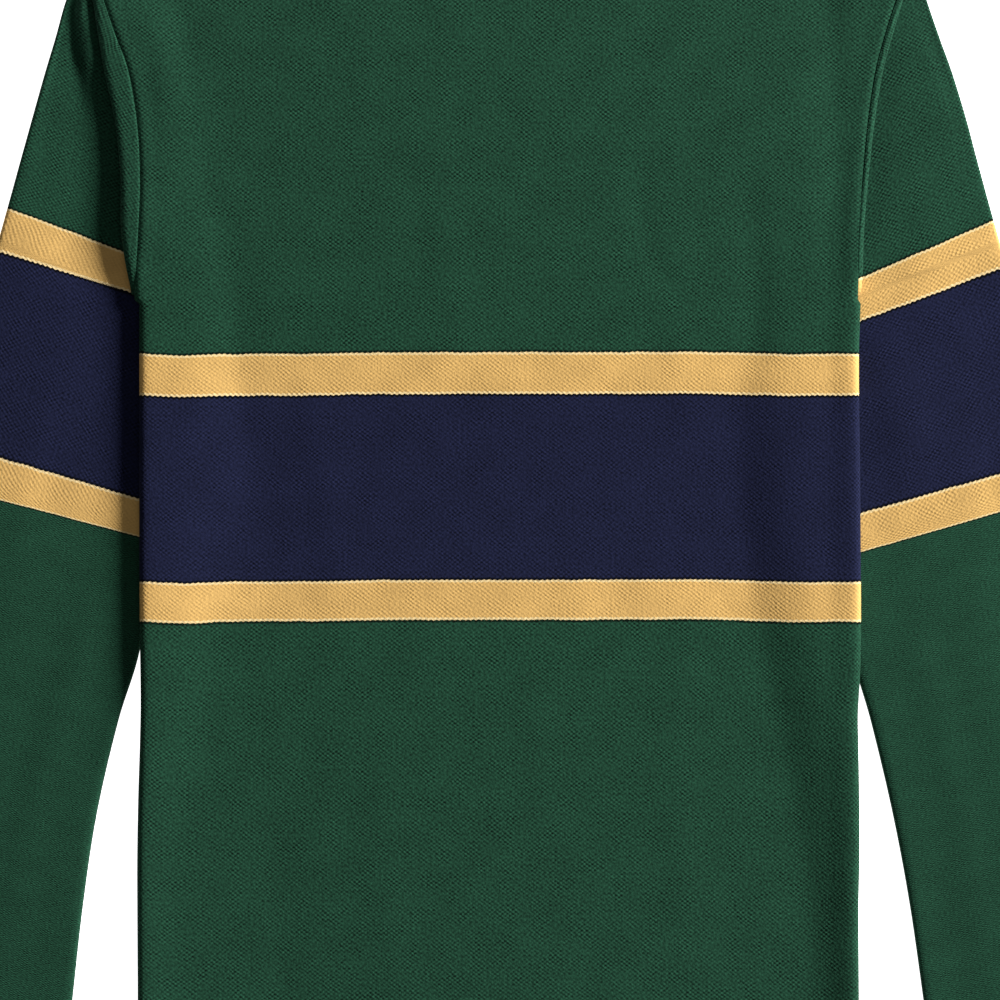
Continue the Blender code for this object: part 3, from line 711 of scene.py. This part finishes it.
# Sections across a sleeve, shoulder to cuff. "anchor" is the back armhole seam and then the
# tube's inner edge, "outer" the outer fold, "lip" the width before the pleat turns under,
# "reach" how far it runs back under the body, and "curl" turns the inner edge down.
SECTION_NAMES = (
    "anchor_left", "anchor_right", "anchor_h", "outer_left", "outer_right", "outer_h",
    "lip_left", "lip_right", "reach", "curl",
)
NO_PLEAT = (0.0, 0.0, 0.0)
SECTIONS = (
    (0.2318, 0.2318, 0.678, 0.2388, 0.238, 0.676, 0.002, 0.0015, 0.002, 0),
    (0.2262, 0.2262, 0.664, 0.2465, 0.2425, 0.66, 0.0036, 0.002, 0.005, 0),
    (0.218, 0.2185, 0.64, 0.2527, 0.25, 0.638, 0.0074, 0.0025, 0.011, 0),
    (0.2104, 0.213, 0.619, 0.2585, 0.257, 0.6185, 0.0114, 0.0025, 0.018, 0),
    (0.2052, 0.2085, 0.588, 0.2658, 0.2649, 0.5925, 0.0104, 0.002, 0.022, 0),
    (0.2036, 0.2055, 0.555, 0.2722, 0.271, 0.5695, 0.0088, 0.0015, 0.025, 0),
    (0.2048, 0.203, 0.523, 0.2788, 0.2775, 0.5455, 0.007, 0.001, 0.028, 0),
    (0.2068, 0.2024, 0.492, 0.2848, 0.2835, 0.524, 0.0002, 0.0005, 0.029, 0),
    (0.175, 0.175, 0.475, 0.2895, 0.2885, 0.507, *NO_PLEAT, 0),
    (0.1762, 0.1762, 0.446, 0.2967, 0.296, 0.4825, *NO_PLEAT, 0),
    (0.1825, 0.1825, 0.41, 0.3068, 0.3065, 0.447, *NO_PLEAT, 0),
    (0.19, 0.1885, 0.371, 0.3176, 0.3176, 0.409, *NO_PLEAT, 0),
    (0.1975, 0.194, 0.33, 0.3284, 0.3284, 0.3625, *NO_PLEAT, 0),
    (0.2055, 0.2004, 0.287, 0.3388, 0.3388, 0.316, *NO_PLEAT, 1),
    (0.217, 0.2108, 0.25, 0.3468, 0.3468, 0.275, *NO_PLEAT, 1),
    (0.229, 0.2231, 0.198, 0.3532, 0.3532, 0.214, *NO_PLEAT, 1),
    (0.237, 0.233, 0.145, 0.3568, 0.3568, 0.155, *NO_PLEAT, 1),
    (0.244, 0.242, 0.082, 0.3578, 0.3578, 0.088, *NO_PLEAT, 1),
)
SIDE_NAMES = {-1: "left", 1: "right"}

# Edges of the bands on each sleeve, as height at LINE_X and rise per metre outwards, with
# lines above and below that carry the knit on; each has its own height on the flat cloth.
LINE_X = 0.2047
SLEEVE_LINES = {
    -1: (
        (-0.02, 0.24, -0.375), (0.355, 0.266, 0.308), (0.3771, 0.296, 0.331),
        (0.4922, 0.31, 0.436), (0.513, 0.377, 0.459), (0.66, 0.2, 0.606),
    ),
    1: (
        (-0.02, 0.24, -0.375), (0.3463, 0.29, 0.308), (0.369, 0.283, 0.331),
        (0.4774, 0.375, 0.436), (0.5014, 0.431, 0.459), (0.66, 0.2, 0.606),
    ),
}

# Soft folds along each sleeve as (line of (row, distance from the valley), height, widths).
SLEEVE_FOLDS = {
    -1: (
        (((0.0, 0.009), (1.2, 0.0125), (2.0, 0.0155), (2.6, 0.0185), (3.6, 0.024)),
         0.0038, 0.006, 0.007),
        (((0.4, 0.018), (1.3, 0.023), (2.1, 0.027), (3.0, 0.029), (4.2, 0.03)), -0.0014, 0.003, 0.004),
        (((3.0, 0.05), (4.5, 0.056), (6.0, 0.062), (7.0, 0.066)), -0.0003, 0.008, 0.008),
        (((8.0, 0.066), (9.5, 0.074), (11.0, 0.08), (13.0, 0.084)), 0.0005, 0.01, 0.012),
        (((10.0, 0.085), (12.0, 0.09), (14.0, 0.085), (17.5, 0.08)), -0.0006, 0.01, 0.012),
        (((11.0, 0.03), (14.0, 0.035), (17.5, 0.04)), 0.0006, 0.012, 0.01),
    ),
    1: (
        (((1.0, 0.014), (3.0, 0.018), (5.0, 0.018), (7.0, 0.016)), 0.0009, 0.012, 0.03),
        (((8.0, 0.042), (9.0, 0.045), (10.0, 0.046), (11.5, 0.044)), 0.001, 0.013, 0.016),
        (((9.5, 0.1), (12.0, 0.094), (14.0, 0.088), (17.5, 0.084)), -0.0006, 0.01, 0.012),
        (((12.0, 0.034), (14.0, 0.038), (17.5, 0.036)), 0.0005, 0.012, 0.01),
    ),
}
SLEEVE_PATH = (
    ("lip", 8), ("turn_under", 6), ("run_back", 5), ("turn_out", 4),
    ("top", 36), ("outer_fold", 8), ("lower", 20),
)
SLEEVE_COLUMNS = [(part, step / count) for part, count in SLEEVE_PATH for step in range(count)]
SLEEVE_COLUMNS.append(("lower", 1.0))


def section_at(side, row):
    """Anchor, outward direction, width, lip, reach, curl and loft of a sleeve at any row."""
    sizes = {}
    low, high = (0, OPEN_ROWS) if row <= OPEN_ROWS else (OPEN_ROWS + 1, len(SECTIONS) - 1)
    for column, name in enumerate(SECTION_NAMES):
        sizes[name] = curve(row, [(i, SECTIONS[i][column]) for i in range(low, high + 1)])
    name = SIDE_NAMES[side]
    anchor = (sizes["anchor_" + name], sizes["anchor_h"])
    outer = (sizes["outer_" + name], sizes["outer_h"])
    width = math.dist(anchor, outer)
    direction = ((outer[0] - anchor[0]) / width, (outer[1] - anchor[1]) / width)
    loft = mix(SLEEVE_LOFTS[side], CUFF_END_LOFT, smooth(row, 12, 16)) * smooth(width, 0.01, 0.06)
    return anchor, direction, width, sizes["lip_" + name], sizes["reach"], sizes["curl"], loft


def arc(centre, radius, start, share):
    """Point on a half circle in the section, starting straight up (1) or down (-1) from centre."""
    angle = math.pi * share
    return (radius * math.sin(angle), centre + start * radius * math.cos(angle))


def tube_path(section, low, start, end, rise, part, share):
    """(distance, height) of the top, outer fold and lower layer of a sleeve section."""
    width, loft = section[2], section[6]
    radius = (LAYER + loft) / 2
    fold = width - radius - WALL / 2
    if part == "top":
        s = mix(start, fold, share)
        return (s, low + loft * smooth(s, *rise))
    if part == "outer_fold":
        bulge, z = arc(TABLE + radius, radius, 1, share)
        return (fold + bulge, z)
    return (mix(fold, end, share), TABLE)


def open_path(side, section, part, share):
    """(distance from the seam, height) of the sleeve where it is still open to the body."""
    anchor, _, _, lip, reach, _, _ = section
    high = back_z(side, anchor[0], anchor[1]) - seam_drop(side, anchor[1])
    low = TABLE + LAYER
    level = (high + low) / 2
    if part == "lip":
        s = mix(GAP / 2, lip, share)
        return (s, high + 0.0003 * smooth(s, 0, 0.0018))
    if part == "turn_under":
        bulge, z = arc((high + level) / 2, (high - level) / 2, 1, share)
        return (lip + bulge, z)
    if part == "run_back":
        return (mix(lip, -reach, share), level)
    if part == "turn_out":
        bulge, z = arc((level + low) / 2, (level - low) / 2, 1, share)
        return (-reach - bulge, z)
    end = -reach - min(FRONT_INSET, reach) + GAP / 2
    return tube_path(section, low, -reach, end, OPEN_RISES[side], part, share)


def closed_path(side, section, part, share):
    """(distance from the inner edge, height) of the sleeve below the underarm."""
    width, curl = section[2], section[5]
    low = TABLE + LAYER
    if part in ("lip", "turn_under", "run_back") or (part == "turn_out" and share < 0.5):
        return None
    if part == "turn_out":
        angle = (share - 0.5) * math.pi
        drop = curl * LAYER * (1 - math.sin(angle))
        return (WALL / 2 + LAYER * (1 - math.cos(angle)), low - drop)
    rise_start, rise_share = CLOSED_RISES[side]
    rise = (rise_start, mix(rise_start, width, rise_share))
    return tube_path(section, low, WALL / 2 + LAYER, 2 * WALL, rise, part, share)


def sleeve_point(side, row, part, share):
    """(x, h, z) of a sleeve at any row, with its folds on the upper layer."""
    if OPEN_ROWS < row < OPEN_ROWS + 1:
        if closed_path(side, (0, 0, 1, 0, 0, 0, 0), part, share) is None:
            return None
        ends = [sleeve_point(side, end, part, share) for end in (OPEN_ROWS, OPEN_ROWS + 1)]
        return [mix(a, b, row - OPEN_ROWS) for a, b in zip(*ends)]
    section = section_at(side, row)
    path = (open_path if row <= OPEN_ROWS else closed_path)(side, section, part, share)
    if path is None:
        return None
    s, z = path
    anchor, direction, width = section[:3]
    if part == "top":
        edges = smooth(s, -0.002, 0.006) * (1 - smooth(s, width - 0.012, width - 0.004))
        z += edges * sum(fold_height(s, row, fold) for fold in SLEEVE_FOLDS[side])
    return [anchor[0] + direction[0] * s, anchor[1] + direction[1] * s, z]


def sleeve_weave_v(side, x, h):
    """Height on the flat cloth of a point of a sleeve, read off the lines of its bands."""
    lines = [(base + rise * (x - LINE_X), v) for base, rise, v in SLEEVE_LINES[side]]
    return curve(h, lines)


def build_sleeve(side, material):
    rows = [0.0]
    for place in range(len(SECTIONS) - 1):
        length = math.dist(SECTIONS[place][3:6:2], SECTIONS[place + 1][3:6:2])
        rows += spread(place, place + 1, SLEEVE_ROW_STEP / max(length, 0.01))
    around = {}
    for row in rows:
        spot, last = 0.0, None
        for column, (part, share) in enumerate(SLEEVE_COLUMNS):
            point = sleeve_point(side, row, part, share)
            if point is None:
                continue
            if last is not None:
                spot += math.dist(point, last)
            last = point
            around[row, column] = (point, spot)
        middle = around[row, len(SLEEVE_COLUMNS) - 1][1] / 2
        for column in range(len(SLEEVE_COLUMNS)):
            if (row, column) in around:
                point, spot = around[row, column]
                around[row, column] = (point, spot - middle)

    def place(column, index):
        found = around.get((rows[index], column))
        if found is None:
            return None
        (x, h, z), u = found
        v = sleeve_weave_v(side, x, h)
        if side < 0 and SLEEVE_COLUMNS[column][0] in ("lip", "turn_under"):
            v += PLAIN_SHIFT
        return (side * x, h, z), (side * u, v)

    name = "sleeve_" + SIDE_NAMES[side] + "_knit"
    return lay_cloth(name, place, len(SLEEVE_COLUMNS), len(rows), material)


# Cotton pique, with the bands and without a stitched hem
sleeve_knit = knit_material("pique_cotton_sleeves", BANDS)
for side in (-1, 1):
    sleeve = build_sleeve(side, sleeve_knit)
    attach(sleeve, "root")
    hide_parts("sleeve_" + SIDE_NAMES[side])


# Cuffs
# Two tubes of flat rib knit, sewn to the ends of the sleeves with their seams underneath.
CUFF_LENGTH_ROWS = 16
CUFF_SECTIONS = (
    ((0.246, 0.0814), (0.3558, 0.0874)), ((0.251, 0.07), (0.352, 0.0755)),
    ((0.253, 0.048), (0.3505, 0.053)), ((0.2535, 0.027), (0.35, 0.032)),
)
CUFF_PATH = (("seam", 4), ("inner_fold", 6), ("top", 36), ("outer_fold", 6), ("lower", 30))
CUFF_COLUMNS = [(part, step / count) for part, count in CUFF_PATH for step in range(count)]
CUFF_COLUMNS.append(("lower", 1.0))
CUFF_TUCK = 0.0025           # how far its upper layer reaches in under the sleeve's end
CUFF_LOFT = 0.00085          # how far its layers stand apart beyond lying flat
CUFF_SEAM = 0.01             # from the inner fold to the seam underneath
CUFF_WEAVE = (0.1, 0.018)    # knit across its width, and between two of its sections
RIB = 0.0024                 # width of one rib and the groove beside it
LOOP = 0.0016                # height of one row of loops


def rib_material(name, code):
    """Flat rib knit: rounded ribs along the weave, with fuzzy grooves between; painted shade darkens
    the grooves and a painted highlight lightens the ribs.
    """
    material, tree, shader, uv = cloth_material(name, roughness=0.92, specular=0.15, sheen=0.08)
    place = add_node(tree, "SeparateXYZ", {0: uv})
    ribs = wave(tree, place.outputs[0], RIB)
    loops = wave(tree, place.outputs[1], LOOP)
    fuzz = add_node(tree, "TexNoise", {"Vector": uv, "Scale": 1400.0, "Detail": 2.0})
    relief = calc(tree, "MULTIPLY_ADD", loops, 0.2, ribs)
    relief = calc(tree, "ADD", relief, calc(tree, "SUBTRACT", fuzz.outputs[0], 0.5))
    # Painted shade in the grooves and painted highlight on the ribs, following the relief.
    light = calc(tree, "MULTIPLY_ADD", relief, 0.16, 1.0)
    finish_cloth(tree, shader, paint(code), light, relief, strength=0.7, depth=0.0005)
    return material


def cuff_path(width, part, share):
    """(distance from the inner fold, height) round a section of a cuff."""
    radius = (LAYER + CUFF_LOFT) / 2
    inner = radius + WALL / 2
    outer = width - radius - WALL / 2
    seam = inner + CUFF_SEAM
    if part == "seam":
        return (mix(seam, inner, share), TABLE)
    if part == "inner_fold":
        bulge, z = arc(TABLE + radius, radius, -1, share)
        return (inner - bulge, z)
    if part == "top":
        return (mix(inner, outer, share), TABLE + 2 * radius)
    if part == "outer_fold":
        bulge, z = arc(TABLE + radius, radius, 1, share)
        return (outer + bulge, z)
    return (mix(outer, seam + GAP, share), TABLE)


def build_cuff(side, material):
    def place(column, index):
        row = 3 * index / (CUFF_LENGTH_ROWS - 1)
        inner, outer = (
            [curve(row, [(i, CUFF_SECTIONS[i][end][axis]) for i in range(4)]) for axis in (0, 1)]
            for end in (0, 1)
        )
        width = math.dist(inner, outer)
        part, share = CUFF_COLUMNS[column]
        s, z = cuff_path(width, part, share)
        x = mix(inner[0], outer[0], s / width)
        h = mix(inner[1], outer[1], s / width)
        if index == 0 and z > TABLE + LAYER / 2:
            h += CUFF_TUCK
        u = s if z > TABLE + LAYER / 2 else -s
        return (side * x, h, z), (u / width * CUFF_WEAVE[0], row * CUFF_WEAVE[1])

    name = "cuff_" + SIDE_NAMES[side] + "_rib"
    return lay_cloth(name, place, len(CUFF_COLUMNS), CUFF_LENGTH_ROWS, material)


# Cotton rib knit, matt
rib_knit = rib_material("rib_cotton_cuff_and_collar", GREEN)
for side in (-1, 1):
    cuff = build_cuff(side, rib_knit)
    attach(cuff, "root")
    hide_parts("cuff_" + SIDE_NAMES[side])


# Collar
# One folded strip of flat rib knit round the neck; its fall lies down on the back, turns over
# both shoulders, and its two points lie under the front.
COLLAR_FOLD_H = 0.729        # fold at the middle of the back
COLLAR_FOLD_RISE = 0.003     # how much higher the fold is at each side
COLLAR_FOLD_HALF = 0.086
COLLAR_EDGE_H = 0.684        # free edge at the middle of the back
COLLAR_SIDE = (0.125, 0.7135)
COLLAR_POINT = (0.054, 0.606)
COLLAR_END_X = 0.004
COLLAR_FRONT_FOLD_H = 0.657
COLLAR_REST = 0.0002         # clearance that its turned sides keep over the table
COLLAR_TURN = (0.47, 0.88)   # direction, square to the shoulder, in which it turns over
COLLAR_ROWS = (
    [("stand", index / 6) for index in range(6)]
    + [("fold", index / 6) for index in range(6)]
    + [("fall", index / 12) for index in range(13)]
)
COLLAR_HALF = (
    [("back", index / 24) for index in range(25)]
    + [("side", index / 12) for index in range(1, 12)]
    + [("front", 1 - index / 24) for index in range(25)]
)
COLLAR_COLUMNS = [(-1, *station) for station in reversed(COLLAR_HALF[1:])]
COLLAR_COLUMNS += [(1, *station) for station in COLLAR_HALF]


def collar_seam(where, share):
    x = NECK_HALF * share
    if where == "back":
        return (x, neck_curve(x, BACK_NECK_H) + GAP)
    inside = 1 - 2 * GAP / NECK_HALF
    return (max(COLLAR_END_X, x * inside), neck_curve(x, FRONT_NECK_H) + 2 * GAP)


def collar_fold(where, share):
    side_h = COLLAR_FOLD_H + COLLAR_FOLD_RISE
    if where == "back":
        return (COLLAR_FOLD_HALF * share, mix(COLLAR_FOLD_H, side_h, share * share))
    x = max(COLLAR_END_X, COLLAR_FOLD_HALF * share)
    drop = math.sqrt(max(0.0, 1 - (x / COLLAR_FOLD_HALF) ** 2))
    return (x, side_h - (side_h - COLLAR_FRONT_FOLD_H) * drop)


def collar_edge(where, share):
    if where == "back":
        return (COLLAR_SIDE[0] * share, mix(COLLAR_EDGE_H, COLLAR_SIDE[1], share ** 2.5))
    x = mix(COLLAR_POINT[0], COLLAR_SIDE[0], share)
    return (x, mix(COLLAR_POINT[1], COLLAR_SIDE[1], share ** 1.15))


def collar_place(column, row):
    """Point of the collar strip: where it lies flat, and where it turns over the shoulder."""
    side, where, station = COLLAR_COLUMNS[column]
    kind, share = COLLAR_ROWS[row]
    end = "back" if where == "side" else where
    along_share = 1.0 if where == "side" else station
    fold = collar_fold(end, along_share)
    outer = {"stand": collar_seam, "fall": collar_edge}.get(kind, collar_fold)(end, along_share)
    part = 1 - share if kind == "stand" else share
    x = mix(fold[0], outer[0], part)
    h = mix(fold[1], outer[1], part)
    back_low = TABLE + 2.15 * LAYER + 0.0004
    front_high = TABLE + LAYER + COLLAR_REST
    turn = {"stand": 0.0, "fall": 1.0}.get(kind, (1 - math.cos(math.pi * share)) / 2)
    if kind == "fold":
        h += LAYER / 2 * math.sin(math.pi * share)
    back_level = back_low + LAYER * turn
    front_level = front_high - LAYER * turn
    # Where the point lies on the flat strip: from the middle of the back, and from the neck seam
    lengths = {
        "back": 0.105 * station, "side": 0.105 + 0.008 * station, "front": 0.215 - 0.102 * station,
    }
    depths = {"stand": 0.03 * share, "fold": 0.03 + 0.003 * share, "fall": 0.033 + 0.045 * share}
    weave = (side * lengths[where], depths[kind])
    if where == "back":
        return (side * x, h, back_level), weave
    if where == "front":
        return (side * x, h, front_level), weave
    angle = math.pi * station
    bulge = (back_level - front_level) / 2 * math.sin(angle)
    z = mix(front_level, back_level, (1 + math.cos(angle)) / 2)
    return (side * (x + COLLAR_TURN[0] * bulge), h + COLLAR_TURN[1] * bulge, z), weave


collar = lay_cloth("collar_rib", collar_place, len(COLLAR_COLUMNS), len(COLLAR_ROWS), rib_knit)
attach(collar, "root")
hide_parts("collar")


# Placket
# Two bands of the plain green knit that edge the front opening, buttoned one over the other.
PLACKET_LAYERS = {"placket_overlap": 0, "placket_underlap": 1}
PLACKET_COLUMNS = 17
PLACKET_ROWS = 37


def build_placket(name, layer, material):
    """One band of the placket. Layer 0 faces the table, and layer 1 lies over it."""
    def place(column, row):
        x = (2 * column / (PLACKET_COLUMNS - 1) - 1) * (PLACKET_HALF - GAP)
        h = mix(PLACKET_H, neck_curve(x, FRONT_NECK_H) - GAP, row / (PLACKET_ROWS - 1))
        lift = max(collar_lift(abs(x), h), button_lift(abs(x), h))
        return (x, h, TABLE + lift + layer * LAYER), (x, h)

    return lay_cloth(name + "_band", place, PLACKET_COLUMNS, PLACKET_ROWS, material)


# Cotton pique without bands
plain_knit = knit_material("pique_cotton_placket", None)
for name, layer in PLACKET_LAYERS.items():
    band = build_placket(name, layer, plain_knit)
    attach(band, "root")
    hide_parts(name)


# Buttons
# Three round four-hole buttons of green resin, turned from sheet and sewn to the placket; the
# shirt lies face down, so their dished faces are against the table.
BUTTON_HEIGHTS = {"button_top": 0.62, "button_middle": 0.566, "button_bottom": 0.512}
HOLE_RADIUS = 0.0009
HOLE_OFFSET = 0.0013
RIM = 0.0013                 # width of the raised rim
DISH = 0.0005                # depth of the face inside the rim
ROUNDING = 0.0003


def make_resin():
    # Polished resin, cloudy dark green
    material, tree, shader = new_material(
        "resin_button_green", {"Roughness": 0.28, "Coat Weight": 0.3},
    )
    place = add_node(tree, "TexCoord").outputs["Object"]
    cloud = add_node(tree, "TexNoise", {"Vector": place, "Scale": 260.0, "Detail": 3.0})
    colour = blend(tree, cloud.outputs[0], "#12291F", "#2C5443")
    tree.links.new(colour, shader.inputs["Base Color"])
    return material


def build_button(name, h, material):
    place = (0.0, h - MIDDLE, BUTTON_THICK / 2)
    bpy.ops.object.select_all(action="DESELECT")
    bpy.ops.mesh.primitive_cylinder_add(
        vertices=48, radius=BUTTON_RADIUS, depth=BUTTON_THICK, location=place,
    )
    button = bpy.context.object
    button.name = name + "_resin"
    bpy.ops.object.mode_set(mode="EDIT")
    bpy.ops.mesh.select_mode(type="FACE")
    bpy.ops.mesh.select_all(action="DESELECT")
    bpy.ops.object.mode_set(mode="OBJECT")
    for face in button.data.polygons:
        face.select = face.normal.z < -0.9
    bpy.ops.object.mode_set(mode="EDIT")
    bpy.ops.mesh.inset(thickness=RIM)
    bpy.ops.mesh.inset(thickness=DISH)
    bpy.ops.transform.translate(value=(0, 0, DISH))
    bpy.ops.object.mode_set(mode="OBJECT")
    rounding = button.modifiers.new("rounding", "BEVEL")
    rounding.width = ROUNDING
    rounding.segments = 3
    rounding.angle_limit = math.radians(40)
    bpy.ops.object.modifier_apply(modifier=rounding.name)
    for across in (-1, 1):
        for up in (-1, 1):
            spot = (across * HOLE_OFFSET, place[1] + up * HOLE_OFFSET, place[2])
            bpy.ops.object.select_all(action="DESELECT")
            bpy.ops.mesh.primitive_cylinder_add(
                vertices=20, radius=HOLE_RADIUS, depth=3 * BUTTON_THICK, location=spot,
            )
            drill = bpy.context.object
            hole = button.modifiers.new("hole", "BOOLEAN")
            hole.operation = "DIFFERENCE"
            hole.object = drill
            bpy.context.view_layer.objects.active = button
            bpy.ops.object.modifier_apply(modifier=hole.name)
            bpy.data.objects.remove(drill)
    bpy.ops.object.select_all(action="DESELECT")
    button.select_set(True)
    bpy.ops.object.shade_smooth_by_angle(angle=math.radians(35))
    bpy.ops.object.transform_apply(location=True, rotation=True, scale=True)
    button.data.materials.clear()
    button.data.materials.append(material)
    return button


resin = make_resin()
for name, h in BUTTON_HEIGHTS.items():
    button = build_button(name, h, resin)
    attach(button, "root")
    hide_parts(name)
